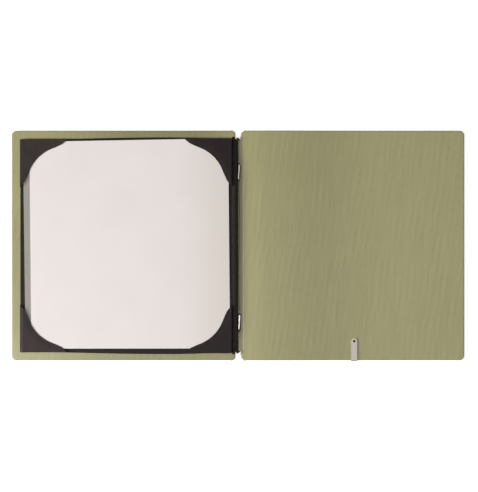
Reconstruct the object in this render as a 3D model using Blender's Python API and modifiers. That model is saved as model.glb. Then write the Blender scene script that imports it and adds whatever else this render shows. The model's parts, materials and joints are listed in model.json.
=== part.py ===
"""Square card holder, lying open and flat.

Two laminated covers are joined by a folding spine. A black carrier with four corner pockets holds
a card over the front cover. It hangs on an elastic cord, which runs through the carrier's hinge
sleeve, turns over the head and tail of the spine, and is caught there by two metal barbs.
A small metal tag is folded over the bottom edge of the back cover.

Units are metres. +X runs from the front cover to the back cover, +Y to the head, +Z up.
The origin is on the surface the holder lies on, in the middle of the spine.
"""

import math

import bmesh
import bpy
from mathutils import Vector

MM = 0.001

# Driving dimensions.
COVER_REACH = 226.6 * MM
COVER_HEIGHT = 230.0 * MM
CORNER_RADIUS = 5.0 * MM
EAR_RADIUS = 4.0 * MM
SKIN = 0.5 * MM
BOARD = 1.2 * MM
GAP = 0.3 * MM
FOLD_SPACING = 7.2 * MM
NOTCH_WIDTH = 5.0 * MM
EAR_HEIGHT = 7.1 * MM
SPINE_HALF_HEIGHT = 105.9 * MM
BOARD_INSET = 0.4 * MM

CARRIER_LEFT = -217.4 * MM
CARRIER_RIGHT = -6.1 * MM
CARRIER_TOP = 106.8 * MM
CARRIER_BOTTOM = -107.3 * MM
CARRIER_THICK = 0.5 * MM
CARRIER_CORNER = 1.0 * MM
SHEET_THICK = 0.3 * MM
CARD_THICK = 0.4 * MM
POCKET_THICK = 0.4 * MM
POCKET_LEG = 47.5 * MM
POCKET_TIP_RADIUS = 0.4 * MM
POCKET_RIM_SHORT = 3.2 * MM
POCKET_RIM_INSET = 0.05 * MM
POCKET_FLARE = [(42.0 * MM, 4.6 * MM, 8.0 * MM), (34.8 * MM, 7.9 * MM, 30.0 * MM)]
POCKET_HOLLOW = (15.2 * MM, 15.2 * MM, 40.0 * MM)

CORD_RADIUS = 0.7 * MM
CORD_CLEARANCE = 0.12 * MM
LOOP_RADIUS = 1.05 * MM
LOOP_HALF_HEIGHT = 105.3 * MM
STRAP_HALF_HEIGHT = 108.6 * MM
STRAP_RIGHT = -2.2 * MM
STRAP_CORNER = 2.6 * MM
STRAP_LEFT_CORNER = 0.5 * MM
LOOP_TAIL = 0.7 * MM
LOOP_TAIL_INSET = 0.05 * MM
PAGE_HINGE_X = -0.9 * MM
SPINE_CORD_X = 1.2 * MM
CORD_TURN_Y = 105.6 * MM

BARB_LENGTH = 15.6 * MM
BARB_WIDTH = 1.8 * MM
BARB_THICK = 1.6 * MM
BARB_CLEARANCE = 0.4 * MM
BARB_EDGE = 0.3 * MM
UPPER_BARB = (0.4 * MM, 73.7 * MM, math.radians(-4.0))
LOWER_BARB = (1.0 * MM, -76.5 * MM, math.radians(-2.3))

CARD_WIDTH = 198.5 * MM
CARD_HEIGHT = 208.4 * MM
CARD_CENTRE = (-108.25 * MM, 1.1 * MM)
CARD_SKEW = math.radians(0.55)
BACKING_WIDTH = 203.0 * MM
BACKING_HEIGHT = 205.0 * MM
BACKING_LEFT = -215.3 * MM
BACKING_BOTTOM = -101.8 * MM

TAG_X = 116.2 * MM
TAG_WIDTH = 6.0 * MM
TAG_METAL = 0.5 * MM
TAG_TOP = -92.5 * MM
TAG_OUTER_BEND = 0.8 * MM
TAG_TRIM = 2.0 * MM
TAG_CUTTER_HEIGHT = 20.0 * MM
RIVET_Y = -95.6 * MM
RIVET_SHANK = 0.6 * MM
RIVET_HEAD = 1.2 * MM
RIVET_HEAD_THICK = 0.4 * MM
RIVET_DOME = ((0.6, 0.85), (1.0, 0.3))
RIVET_FOOT = 0.1 * MM
SPINE_CORNER = 0.8 * MM

# Levels and places that follow from them.
BOARD_LOW = SKIN + GAP
INNER_LOW = BOARD_LOW + BOARD + GAP
COVER_THICK = INNER_LOW + SKIN
FOLD_Z = COVER_THICK / 2
FOLD_X = FOLD_SPACING / 2
PANEL_SETBACK = FOLD_Z + GAP
CARRIER_LOW = COVER_THICK + GAP
SHEET_LOW = CARRIER_LOW + CARRIER_THICK + GAP
CARD_LOW = SHEET_LOW + SHEET_THICK + GAP
POCKET_LOW = CARD_LOW + CARD_THICK + GAP
PAGE_HINGE_Z = CARRIER_LOW + LOOP_RADIUS
TAG_FRONT_LOW = COVER_THICK + GAP

# Colours, as linear red, green and blue.
GREEN = (0.335, 0.310, 0.165)
GREY_BOARD = (0.330, 0.315, 0.290)
BLACK_STOCK = (0.036, 0.030, 0.029)
BLACK_POCKET = (0.056, 0.044, 0.042)
GREY_PAPER = (0.365, 0.345, 0.300)
WHITE_CARD = (0.800, 0.740, 0.715)
OXBLOOD = (0.080, 0.018, 0.012)
STEEL = (0.560, 0.535, 0.505)
DARK_STEEL = (0.180, 0.165, 0.150)


def clear_scene():
    for obj in list(bpy.data.objects):
        bpy.data.objects.remove(obj, do_unlink=True)


def make_collection(name):
    collection = bpy.data.collections.new(name)
    bpy.context.scene.collection.children.link(collection)
    return collection


clear_scene()
PARTS = make_collection("card_holder")
CUTTERS = make_collection("cutters")


def principled(name, colour, roughness, metallic=0.0):
    material = bpy.data.materials.new(name)
    material.use_nodes = True
    shader = material.node_tree.nodes["Principled BSDF"]
    shader.inputs["Base Color"].default_value = (*colour, 1.0)
    shader.inputs["Roughness"].default_value = roughness
    shader.inputs["Metallic"].default_value = metallic
    material.diffuse_color = (*colour, 1.0)
    return material


# Outlines.


def arc(centre, radius, start, end, steps):
    """Points on an arc about centre, from angle start to angle end in degrees, both included."""
    points = []
    for step in range(steps + 1):
        angle = math.radians(start + (end - start) * step / steps)
        points.append((centre[0] + radius * math.cos(angle), centre[1] + radius * math.sin(angle)))
    return points


def rounded(corners, step_degrees=15.0):
    """A closed outline whose corners (x, y, radius) are turned into arcs."""
    points = []
    count = len(corners)
    for index, (x, y, radius) in enumerate(corners):
        here = Vector((x, y))
        before = Vector(corners[index - 1][:2]) - here
        after = Vector(corners[(index + 1) % count][:2]) - here
        if radius == 0:
            points.append((x, y))
            continue
        half_angle = before.angle(after) / 2
        start = here + before.normalized() * radius / math.tan(half_angle)
        bisector = (before.normalized() + after.normalized()).normalized()
        centre = here + bisector * radius / math.sin(half_angle)
        first = math.degrees(math.atan2(start.y - centre.y, start.x - centre.x))
        turn = 180.0 - math.degrees(2 * half_angle)
        sign = -1.0 if before.cross(after) > 0 else 1.0
        steps = max(2, round(turn / step_degrees))
        points += arc(centre, radius, first, first + sign * turn, steps)
    return points


def rectangle(left, bottom, right, top, radius=0.0):
    return rounded([(left, bottom, radius), (right, bottom, radius), (right, top, radius), (left, top, radius)])


def stadium(length, width, steps=6):
    """A slot's outline along Y, about the origin."""
    reach = (length - width) / 2
    return arc((0, reach), width / 2, 0, 180, steps) + arc((0, -reach), width / 2, 180, 360, steps)


def moved(points, offset, angle=0.0):
    cosine = math.cos(angle)
    sine = math.sin(angle)
    return [(offset[0] + x * cosine - y * sine, offset[1] + x * sine + y * cosine) for x, y in points]


def mirrored(points, sign_x, sign_y=1.0):
    return [(x * sign_x, y * sign_y) for x, y in points]


# Solids.


def link_mesh(name, mesh, material=None, collection=PARTS):
    obj = bpy.data.objects.new(name, mesh)
    collection.objects.link(obj)
    if material:
        mesh.materials.clear()
        mesh.materials.append(material)
    return obj


def plate_mesh(name, outlines, thickness):
    """A flat plate centred on z = 0. The first outline is its edge, and any others are holes."""
    curve = bpy.data.curves.new(name, "CURVE")
    curve.dimensions = "2D"
    curve.fill_mode = "BOTH"
    curve.extrude = thickness / 2
    for outline in outlines:
        spline = curve.splines.new("POLY")
        spline.points.add(len(outline) - 1)
        for point, (x, y) in zip(spline.points, outline):
            point.co = (x, y, 0.0, 1.0)
        spline.use_cyclic_u = True
    return solid_from_curve(name, curve)


def solid_from_curve(name, curve):
    """The closed mesh of a curve, with its loose caps welded on."""
    guide = bpy.data.objects.new(name + "_curve", curve)
    CUTTERS.objects.link(guide)
    evaluated = guide.evaluated_get(bpy.context.evaluated_depsgraph_get())
    mesh = bpy.data.meshes.new_from_object(evaluated)
    mesh.name = name
    bpy.data.objects.remove(guide, do_unlink=True)
    bpy.data.curves.remove(curve)
    shape = bmesh.new()
    shape.from_mesh(mesh)
    bmesh.ops.remove_doubles(shape, verts=shape.verts, dist=0.000001)
    bmesh.ops.recalc_face_normals(shape, faces=shape.faces)
    shape.to_mesh(mesh)
    shape.free()
    return mesh


def plate(name, outlines, low, thickness, material, parent, origin=(0.0, 0.0)):
    """A plate whose outlines are given about origin, lying from z = low upwards."""
    obj = link_mesh(name, plate_mesh(name, outlines, thickness), material)
    place(obj, parent, (origin[0], origin[1], low + thickness / 2))
    return obj


def place(obj, parent, position):
    """Puts obj at a world position under an unrotated parent."""
    obj.parent = parent
    obj.location = Vector(position) - parent_position(parent)


def parent_position(parent):
    position = Vector((0.0, 0.0, 0.0))
    while parent:
        position += parent.location
        parent = parent.parent
    return position


def axis_empty(name, position, parent=None):
    empty = bpy.data.objects.new(name, None)
    empty.empty_display_size = 0.01
    PARTS.objects.link(empty)
    place(empty, parent, position)
    return empty


def cutter(name, mesh, position):
    obj = link_mesh(name, mesh, collection=CUTTERS)
    obj.location = position
    obj.hide_render = True
    obj.display_type = "WIRE"
    return obj


def combine(obj, other, operation):
    boolean = obj.modifiers.new(other.name, "BOOLEAN")
    boolean.operation = operation
    boolean.solver = "EXACT"
    boolean.object = other


# Covers.


def cover_outline(side, fold_edge, inset=0.0):
    """One cover, with ears at head and tail that reach past the spine's ends towards its middle.

    side is -1 for the front cover and 1 for the back cover. fold_edge is the distance from the
    spine's middle to the edge between the ears.
    """
    inner = NOTCH_WIDTH / 2 + inset
    outer = COVER_REACH - inset
    top = COVER_HEIGHT / 2 - inset
    step = COVER_HEIGHT / 2 - EAR_HEIGHT + inset
    ear_radius = EAR_RADIUS - inset
    radius = CORNER_RADIUS - inset
    corners = [
        (fold_edge, -step, 0.0),
        (inner, -step, 0.0),
        (inner, -top, ear_radius),
        (outer, -top, radius),
        (outer, top, radius),
        (inner, top, ear_radius),
        (inner, step, 0.0),
        (fold_edge, step, 0.0),
    ]
    return mirrored(rounded(corners), side)


def make_cover(prefix, side, parent, rivet_hole=None):
    skin_edge = FOLD_X + GAP / 2
    panel_edge = FOLD_X + PANEL_SETBACK
    holes = [rivet_hole] if rivet_hole else []
    skin = plate(
        prefix + "_outer_skin",
        [cover_outline(side, skin_edge)],
        0.0,
        SKIN,
        principled(prefix + "_outer_skin", GREEN, 0.55),
        parent,
    )
    plate(
        prefix + "_board",
        [cover_outline(side, panel_edge, BOARD_INSET)] + holes,
        BOARD_LOW,
        BOARD,
        principled(prefix + "_board", GREY_BOARD, 0.9),
        parent,
    )
    plate(
        prefix + "_inner_skin",
        [cover_outline(side, panel_edge)] + holes,
        INNER_LOW,
        SKIN,
        principled(prefix + "_inner_skin", GREEN, 0.55),
        parent,
    )
    return skin


# Spine.


def barb_outline(clearance=0.0):
    return stadium(BARB_LENGTH + 2 * clearance, BARB_WIDTH + 2 * clearance)


def make_spine(parent):
    half_width = FOLD_X - GAP / 2
    strip = rectangle(-half_width, -SPINE_HALF_HEIGHT, half_width, SPINE_HALF_HEIGHT, SPINE_CORNER)
    slots = [moved(barb_outline(BARB_CLEARANCE), (x, y), slant) for x, y, slant in (UPPER_BARB, LOWER_BARB)]
    plate("spine_outer_skin", [strip], 0.0, SKIN, principled("spine_outer_skin", GREEN, 0.55), parent)
    plate(
        "spine_inner_skin",
        [strip] + slots,
        INNER_LOW,
        SKIN,
        principled("spine_inner_skin", GREEN, 0.55),
        parent,
    )


def make_barb(name, barb, parent):
    x, y, slant = barb
    obj = plate(
        name,
        [barb_outline()],
        COVER_THICK - BARB_THICK,
        BARB_THICK,
        principled(name, STEEL, 0.28, 1.0),
        parent,
        (x, y),
    )
    obj.rotation_euler.z = slant
    bevel = obj.modifiers.new("rounded_edges", "BEVEL")
    bevel.width = BARB_EDGE
    bevel.segments = 2
    bevel.limit_method = "ANGLE"


def barb_end(barb, side):
    """The point just beyond a barb's end where the cord stops, side 1 for its head end."""
    x, y, slant = barb
    reach = side * (BARB_LENGTH / 2 + GAP)
    return Vector((x - reach * math.sin(slant), y + reach * math.cos(slant), FOLD_Z))


def cord_bend(side, steps=8):
    """The half turn over the head (side 1) or tail (side -1), from the spine to the sleeve."""
    height = side * CORD_TURN_Y
    spine_run = Vector((SPINE_CORD_X, height, FOLD_Z))
    sleeve_run = Vector((PAGE_HINGE_X, height, PAGE_HINGE_Z))
    middle = (spine_run + sleeve_run) / 2
    radius = (spine_run - sleeve_run).length / 2
    points = []
    for step in range(steps + 1):
        angle = math.pi * step / steps
        along = (spine_run - middle) * math.cos(angle)
        points.append(middle + along + Vector((0.0, side * radius * math.sin(angle), 0.0)))
    return points


def make_elastic_cord(parent):
    route = [barb_end(UPPER_BARB, 1)]
    route += cord_bend(1)
    route += reversed(cord_bend(-1))
    route += [barb_end(LOWER_BARB, -1)]
    curve = bpy.data.curves.new("elastic_cord", "CURVE")
    curve.dimensions = "3D"
    curve.bevel_depth = CORD_RADIUS
    curve.bevel_resolution = 2
    curve.use_fill_caps = True
    spline = curve.splines.new("POLY")
    spline.points.add(len(route) - 1)
    for point, position in zip(spline.points, route):
        point.co = (*position, 1.0)
    mesh = solid_from_curve("elastic_cord", curve)
    obj = link_mesh("elastic_cord", mesh, principled("elastic_cord", OXBLOOD, 0.7))
    place(obj, parent, (0.0, 0.0, 0.0))
    mesh.shade_smooth()


# Card carrier.


def make_hinge_sleeve(parent):
    """A flat strap along the carrier's edge, joined to a loop that turns round the cord."""
    left = CARRIER_RIGHT + GAP
    strap = rounded(
        [
            (left, -STRAP_HALF_HEIGHT, STRAP_LEFT_CORNER),
            (STRAP_RIGHT, -STRAP_HALF_HEIGHT, STRAP_CORNER),
            (STRAP_RIGHT, STRAP_HALF_HEIGHT, STRAP_CORNER),
            (left, STRAP_HALF_HEIGHT, STRAP_LEFT_CORNER),
        ]
    )
    origin = (PAGE_HINGE_X, 0.0)
    strap = moved(strap, (-origin[0], -origin[1]))
    sleeve = plate(
        "hinge_sleeve",
        [strap],
        CARRIER_LOW,
        CARRIER_THICK,
        principled("hinge_sleeve", BLACK_STOCK, 0.6),
        parent,
        origin,
    )
    tail_left = STRAP_RIGHT - PAGE_HINGE_X - LOOP_TAIL
    tail_low = CARRIER_LOW - PAGE_HINGE_Z + LOOP_TAIL_INSET
    tail_high = tail_low + CARRIER_THICK - 2 * LOOP_TAIL_INSET
    ring = arc((0.0, 0.0), LOOP_RADIUS, -105, 215, 24)
    tail = [(tail_left, tail_high), (tail_left, tail_low)]
    bore = arc((0.0, 0.0), CORD_RADIUS + CORD_CLEARANCE, 0, 345, 23)
    loop_mesh = plate_mesh("hinge_sleeve_loop", [tail + ring, bore], 2 * LOOP_HALF_HEIGHT)
    loop = cutter("hinge_sleeve_loop", loop_mesh, (PAGE_HINGE_X, 0.0, PAGE_HINGE_Z))
    loop.rotation_euler.x = math.pi / 2
    combine(sleeve, loop, "UNION")


def pocket_outline():
    """A pocket with its corner at the origin: a hollow diagonal edge that flares at both ends."""
    flare = [(POCKET_LEG, 0.0, POCKET_TIP_RADIUS)] + POCKET_FLARE
    far_flare = [(y, x, radius) for x, y, radius in reversed(flare)]
    return rounded([(0.0, 0.0, CARRIER_CORNER)] + flare + [POCKET_HOLLOW] + far_flare, 6.0)


def pocket_wall_outline():
    """The folded rim along the pocket's two outer edges."""
    reach = POCKET_LEG - POCKET_RIM_SHORT
    return rounded(
        [
            (POCKET_RIM_INSET, POCKET_RIM_INSET, CARRIER_CORNER),
            (reach, POCKET_RIM_INSET, 0.0),
            (reach, POCKET_THICK, 0.0),
            (POCKET_THICK, POCKET_THICK, CARRIER_CORNER - POCKET_THICK),
            (POCKET_THICK, reach, 0.0),
            (POCKET_RIM_INSET, reach, 0.0),
        ]
    )


def make_pocket(name, corner, sign_x, sign_y, parent):
    obj = plate(
        name,
        [mirrored(pocket_outline(), sign_x, sign_y)],
        POCKET_LOW,
        POCKET_THICK,
        principled(name, BLACK_POCKET, 0.6),
        parent,
        corner,
    )
    wall_low = CARRIER_LOW + CARRIER_THICK + GAP
    wall_height = POCKET_LOW + POCKET_THICK / 2 - wall_low
    wall_mesh = plate_mesh(name + "_wall", [mirrored(pocket_wall_outline(), sign_x, sign_y)], wall_height)
    wall = cutter(name + "_wall", wall_mesh, (corner[0], corner[1], wall_low + wall_height / 2))
    combine(obj, wall, "UNION")


def make_carrier(parent):
    outline = rectangle(CARRIER_LEFT, CARRIER_BOTTOM, CARRIER_RIGHT, CARRIER_TOP, CARRIER_CORNER)
    plate(
        "carrier_sheet",
        [outline],
        CARRIER_LOW,
        CARRIER_THICK,
        principled("carrier_sheet", BLACK_STOCK, 0.6),
        parent,
    )
    make_hinge_sleeve(parent)
    make_pocket("pocket_top_left", (CARRIER_LEFT, CARRIER_TOP), 1, -1, parent)
    make_pocket("pocket_top_right", (CARRIER_RIGHT, CARRIER_TOP), -1, -1, parent)
    make_pocket("pocket_bottom_left", (CARRIER_LEFT, CARRIER_BOTTOM), 1, 1, parent)
    make_pocket("pocket_bottom_right", (CARRIER_RIGHT, CARRIER_BOTTOM), -1, 1, parent)
    plate(
        "backing_sheet",
        [rectangle(0.0, 0.0, BACKING_WIDTH, BACKING_HEIGHT)],
        SHEET_LOW,
        SHEET_THICK,
        principled("backing_sheet", GREY_PAPER, 0.85),
        parent,
        (BACKING_LEFT, BACKING_BOTTOM),
    )


def make_menu_card(parent):
    card = plate(
        "menu_card",
        [rectangle(-CARD_WIDTH / 2, -CARD_HEIGHT / 2, CARD_WIDTH / 2, CARD_HEIGHT / 2)],
        CARD_LOW,
        CARD_THICK,
        principled("menu_card", WHITE_CARD, 0.6),
        parent,
        CARD_CENTRE,
    )
    card.rotation_euler.z = CARD_SKEW


# Tag on the back cover.


def tag_plan(clearance):
    """The tag's outline from above: round ended at the top, and running past the cover's edge."""
    half = TAG_WIDTH / 2 + clearance
    bottom = -COVER_HEIGHT / 2 - TAG_TRIM
    top = TAG_TOP + clearance
    return [(half, bottom)] + arc((0.0, top - half), half, 0, 180, 12) + [(-half, bottom)]


def make_tag(parent, back_skin):
    """A strip folded over the cover's edge: a U seen along X, trimmed to a round end."""
    front_top = TAG_FRONT_LOW + TAG_METAL
    outside = -COVER_HEIGHT / 2 - GAP - TAG_METAL
    inside_bend = TAG_OUTER_BEND - TAG_METAL
    leg_end = TAG_TOP + TAG_TRIM / 2
    section = rounded(
        [
            (leg_end, 0.0, 0.0),
            (leg_end, TAG_METAL, 0.0),
            (outside + TAG_METAL, TAG_METAL, inside_bend),
            (outside + TAG_METAL, TAG_FRONT_LOW, inside_bend),
            (leg_end, TAG_FRONT_LOW, 0.0),
            (leg_end, front_top, 0.0),
            (outside, front_top, TAG_OUTER_BEND),
            (outside, 0.0, TAG_OUTER_BEND),
        ]
    )
    tag = link_mesh("tag", plate_mesh("tag", [section], TAG_WIDTH + TAG_TRIM), principled("tag", STEEL, 0.35, 1.0))
    place(tag, parent, (TAG_X, 0.0, 0.0))
    tag.rotation_euler = (math.pi / 2, 0.0, math.pi / 2)
    plan = cutter("tag_plan", plate_mesh("tag_plan", [tag_plan(0.0)], TAG_CUTTER_HEIGHT), (TAG_X, 0.0, 0.0))
    combine(tag, plan, "INTERSECT")
    rivet_hole = arc((0.0, RIVET_Y), RIVET_SHANK + GAP, 0, 337.5, 15)
    drill = cutter("tag_drill", plate_mesh("tag_drill", [rivet_hole], TAG_CUTTER_HEIGHT), (TAG_X, 0.0, 0.0))
    combine(tag, drill, "DIFFERENCE")
    window = cutter("tag_window", plate_mesh("tag_window", [tag_plan(GAP)], 2 * SKIN + GAP), (TAG_X, 0.0, 0.0))
    combine(back_skin, window, "DIFFERENCE")


def make_tag_rivet(parent):
    """A turned rivet: a shank with a low domed head, as a half section spun about its axis."""
    head_low = TAG_FRONT_LOW + TAG_METAL + GAP
    dome = [(RIVET_HEAD * radius, head_low + RIVET_HEAD_THICK * height) for radius, height in RIVET_DOME]
    shank = [(RIVET_HEAD, head_low), (RIVET_SHANK, head_low), (RIVET_SHANK, RIVET_FOOT), (0.0, RIVET_FOOT)]
    profile = [(0.0, head_low + RIVET_HEAD_THICK)] + dome + shank
    mesh = bpy.data.meshes.new("tag_rivet")
    vertices = [(radius, 0.0, height) for radius, height in profile]
    edges = [(index, index + 1) for index in range(len(profile) - 1)]
    mesh.from_pydata(vertices, edges, [])
    rivet = link_mesh("tag_rivet", mesh, principled("tag_rivet", DARK_STEEL, 0.4, 1.0))
    place(rivet, parent, (TAG_X, RIVET_Y, 0.0))
    screw = rivet.modifiers.new("turned", "SCREW")
    screw.steps = 20
    screw.render_steps = 20
    screw.use_merge_vertices = True
    screw.merge_threshold = 0.00001


# Assembly.

front_cover = axis_empty("front_cover_frame", (0.0, 0.0, 0.0))
spine = axis_empty("spine_fold_axis", (-FOLD_X, 0.0, FOLD_Z), front_cover)
back_cover = axis_empty("back_cover_fold_axis", (FOLD_X, 0.0, FOLD_Z), spine)
page = axis_empty("page_hinge_axis", (PAGE_HINGE_X, 0.0, PAGE_HINGE_Z), spine)
card_slide = axis_empty("card_shift_axis", (*CARD_CENTRE, CARD_LOW), page)

make_cover("front", -1, front_cover)
tag_hole = arc((TAG_X, RIVET_Y), RIVET_SHANK + GAP, 0, 337.5, 15)
back_outer_skin = make_cover("back", 1, back_cover, tag_hole)
make_spine(spine)
make_barb("upper_barb", UPPER_BARB, spine)
make_barb("lower_barb", LOWER_BARB, spine)
make_elastic_cord(spine)
make_carrier(page)
make_menu_card(card_slide)
make_tag(back_cover, back_outer_skin)
make_tag_rivet(back_cover)
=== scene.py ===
"""The looks of the card holder: ribbed leatherette, black carrier, white card, steel fittings."""

import json
import math

import bmesh
import bpy
import numpy as np
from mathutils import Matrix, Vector


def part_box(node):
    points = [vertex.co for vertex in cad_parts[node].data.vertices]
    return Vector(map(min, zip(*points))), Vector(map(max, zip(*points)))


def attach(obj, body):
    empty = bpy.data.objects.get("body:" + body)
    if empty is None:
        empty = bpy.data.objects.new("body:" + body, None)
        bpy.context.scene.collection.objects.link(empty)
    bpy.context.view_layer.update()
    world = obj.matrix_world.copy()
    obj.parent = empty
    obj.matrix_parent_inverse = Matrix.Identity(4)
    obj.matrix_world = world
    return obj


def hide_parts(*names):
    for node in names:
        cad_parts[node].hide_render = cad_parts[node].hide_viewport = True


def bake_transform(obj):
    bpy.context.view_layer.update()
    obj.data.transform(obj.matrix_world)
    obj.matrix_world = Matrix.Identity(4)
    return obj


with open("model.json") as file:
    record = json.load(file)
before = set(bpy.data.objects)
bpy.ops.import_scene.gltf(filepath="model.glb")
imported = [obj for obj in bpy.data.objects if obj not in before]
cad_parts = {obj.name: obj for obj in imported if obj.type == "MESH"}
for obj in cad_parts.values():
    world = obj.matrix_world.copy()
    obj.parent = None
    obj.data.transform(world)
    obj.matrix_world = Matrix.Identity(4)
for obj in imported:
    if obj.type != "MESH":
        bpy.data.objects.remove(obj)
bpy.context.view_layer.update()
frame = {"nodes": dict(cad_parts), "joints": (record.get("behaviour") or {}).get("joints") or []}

MM = 0.001

# Places read from the frame.
COVER_LOW, COVER_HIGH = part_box("back_inner_skin")
SPINE_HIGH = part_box("spine_inner_skin")[1]
CARRIER_LOW, CARRIER_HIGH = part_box("carrier_sheet")
CARD_LOW, CARD_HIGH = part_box("menu_card")
BACKING_LOW, BACKING_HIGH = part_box("backing_sheet")
CORD_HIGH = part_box("elastic_cord")[1]
TAG_LOW, TAG_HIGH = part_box("tag")
JOINTS = {joint["name"]: joint for joint in frame["joints"]}

THICK = COVER_HIGH.z
MIDDLE_Z = THICK / 2
HALF_HEIGHT = COVER_HIGH.y
REACH = COVER_HIGH.x
EAR_X = COVER_LOW.x
FOLD_X = JOINTS["back_cover_fold"]["pos_m"][0]
SPINE_END = SPINE_HIGH.y
PAGE_HINGE = Vector(JOINTS["page_hinge"]["pos_m"])

# Sizes of the visible surface, which the plain solids don't have. EAR_CORNER has one radius for the
# front cover (-1) and one for the back cover (1), and JOIN_X is where the strip by the fold ends.
SKIN = 0.45 * MM
CORNER = 5.0 * MM
EAR_CORNER = {-1: 4.0 * MM, 1: 5.4 * MM}
EAR_HEIGHT = 7.1 * MM
EAR_BASE = HALF_HEIGHT - EAR_HEIGHT
EAR_NOTCH = 0.9 * MM
EDGE_ROUND = 1.25 * MM
SEAM = FOLD_X + 1.7 * MM
JOIN_X = 9.6 * MM


# Small mesh tools.


def smooth(low, high, value):
    """0 below low, 1 above high, and an S curve between."""
    t = np.clip((value - low) / (high - low), 0.0, 1.0)
    return t * t * (3 - 2 * t)


def arc(centre, radius, start, end, steps):
    """Points (x, y) along an arc from one angle to another, in degrees."""
    angles = np.radians(np.linspace(start, end, steps + 1))
    return np.stack([centre[0] + radius * np.cos(angles), centre[1] + radius * np.sin(angles)], axis=1)


def distance_to_path(points, path):
    """How far each point (x, y) is from a path of points."""
    best = np.full(len(points), np.inf)
    for start, end in zip(path[:-1], path[1:]):
        step = end - start
        along = np.clip(((points - start) @ step) / max(step @ step, 1e-18), 0.0, 1.0)
        best = np.minimum(best, np.linalg.norm(points - start - along[:, None] * step, axis=1))
    return best


def clustered(low, high, step, fine):
    """Values from low to high, about step apart, with fine offsets kept from both ends."""
    middle_low, middle_high = low + fine[-1], high - fine[-1]
    count = max(1, round((middle_high - middle_low) / step))
    middle = np.linspace(middle_low, middle_high, count + 1)
    return np.concatenate([low + np.array(fine[:-1]), middle, high - np.array(fine[:-1])[::-1]])


def grid_mesh(name, patches, up=True):
    """A surface through one or more (rows, columns, 3) arrays of points, joined where they touch."""
    vertices, faces = [], []
    for patch in patches:
        rows, columns = patch.shape[:2]
        index = len(vertices) + np.arange(rows * columns).reshape(rows, columns)
        corners = np.stack([index[:-1, :-1], index[:-1, 1:], index[1:, 1:], index[1:, :-1]], axis=-1)
        quads = corners.reshape(-1, 4)
        faces += (quads if up else quads[:, ::-1]).tolist()
        vertices += patch.reshape(-1, 3).tolist()
    mesh = bpy.data.meshes.new(name)
    mesh.from_pydata(vertices, [], faces)
    mesh.update()
    shape = bmesh.new()
    shape.from_mesh(mesh)
    bmesh.ops.remove_doubles(shape, verts=shape.verts, dist=0.000001)
    shape.to_mesh(mesh)
    shape.free()
    mesh.shade_smooth()
    return mesh


def tube_mesh(name, points):
    """A closed tube through a (rows, columns, 3) array whose rows are rings, with both ends filled."""
    rows, columns = points.shape[:2]
    faces = []
    for row in range(rows - 1):
        for column in range(columns):
            after = (column + 1) % columns
            first, second = row * columns, (row + 1) * columns
            faces.append((first + column, first + after, second + after, second + column))
    faces.append(tuple(range(columns))[::-1])
    faces.append(tuple((rows - 1) * columns + column for column in range(columns)))
    mesh = bpy.data.meshes.new(name)
    mesh.from_pydata(points.reshape(-1, 3).tolist(), [], faces)
    shape = bmesh.new()
    shape.from_mesh(mesh)
    bmesh.ops.recalc_face_normals(shape, faces=shape.faces)
    shape.to_mesh(mesh)
    shape.free()
    mesh.shade_smooth()
    return mesh


def keep_rest_place(mesh, dark=None):
    """Stores where each point is at rest, so that patterns stay put in a bend, and how much painted
    shade it gets.
    """
    place = mesh.attributes.new("rest_place", "FLOAT_VECTOR", "POINT")
    points = np.array([vertex.co for vertex in mesh.vertices])
    place.data.foreach_set("vector", points.astype(np.float32).ravel())
    # How much painted shade each point gets, for the material to darken it.
    painted_shade = mesh.attributes.new("painted_shade", "FLOAT", "POINT")
    values = dark(points[:, 0], points[:, 1], points[:, 2]) if dark else np.zeros(len(points))
    painted_shade.data.foreach_set("value", values.astype(np.float32))


def add_piece(name, mesh, material, body, node):
    """A visible piece in the place of a node. One without a body is not attached to any body here."""
    piece = bpy.data.objects.new(name, mesh)
    bpy.context.scene.collection.objects.link(piece)
    mesh.materials.clear()
    mesh.materials.append(material)
    if body:
        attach(piece, body)
    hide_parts(node)
    return piece


def thicken(piece, thickness):
    """Gives a surface its thickness, on the side away from its normals."""
    solidify = piece.modifiers.new("thickness", "SOLIDIFY")
    solidify.thickness = thickness
    solidify.offset = -1.0


def soften(piece, width):
    """Rounds the sharp edges by a small width."""
    bevel = piece.modifiers.new("soft_edges", "BEVEL")
    bevel.width = width
    bevel.segments = 2
    bevel.limit_method = "ANGLE"
    bevel.angle_limit = math.radians(35)
    bevel.harden_normals = False


# Materials.


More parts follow.
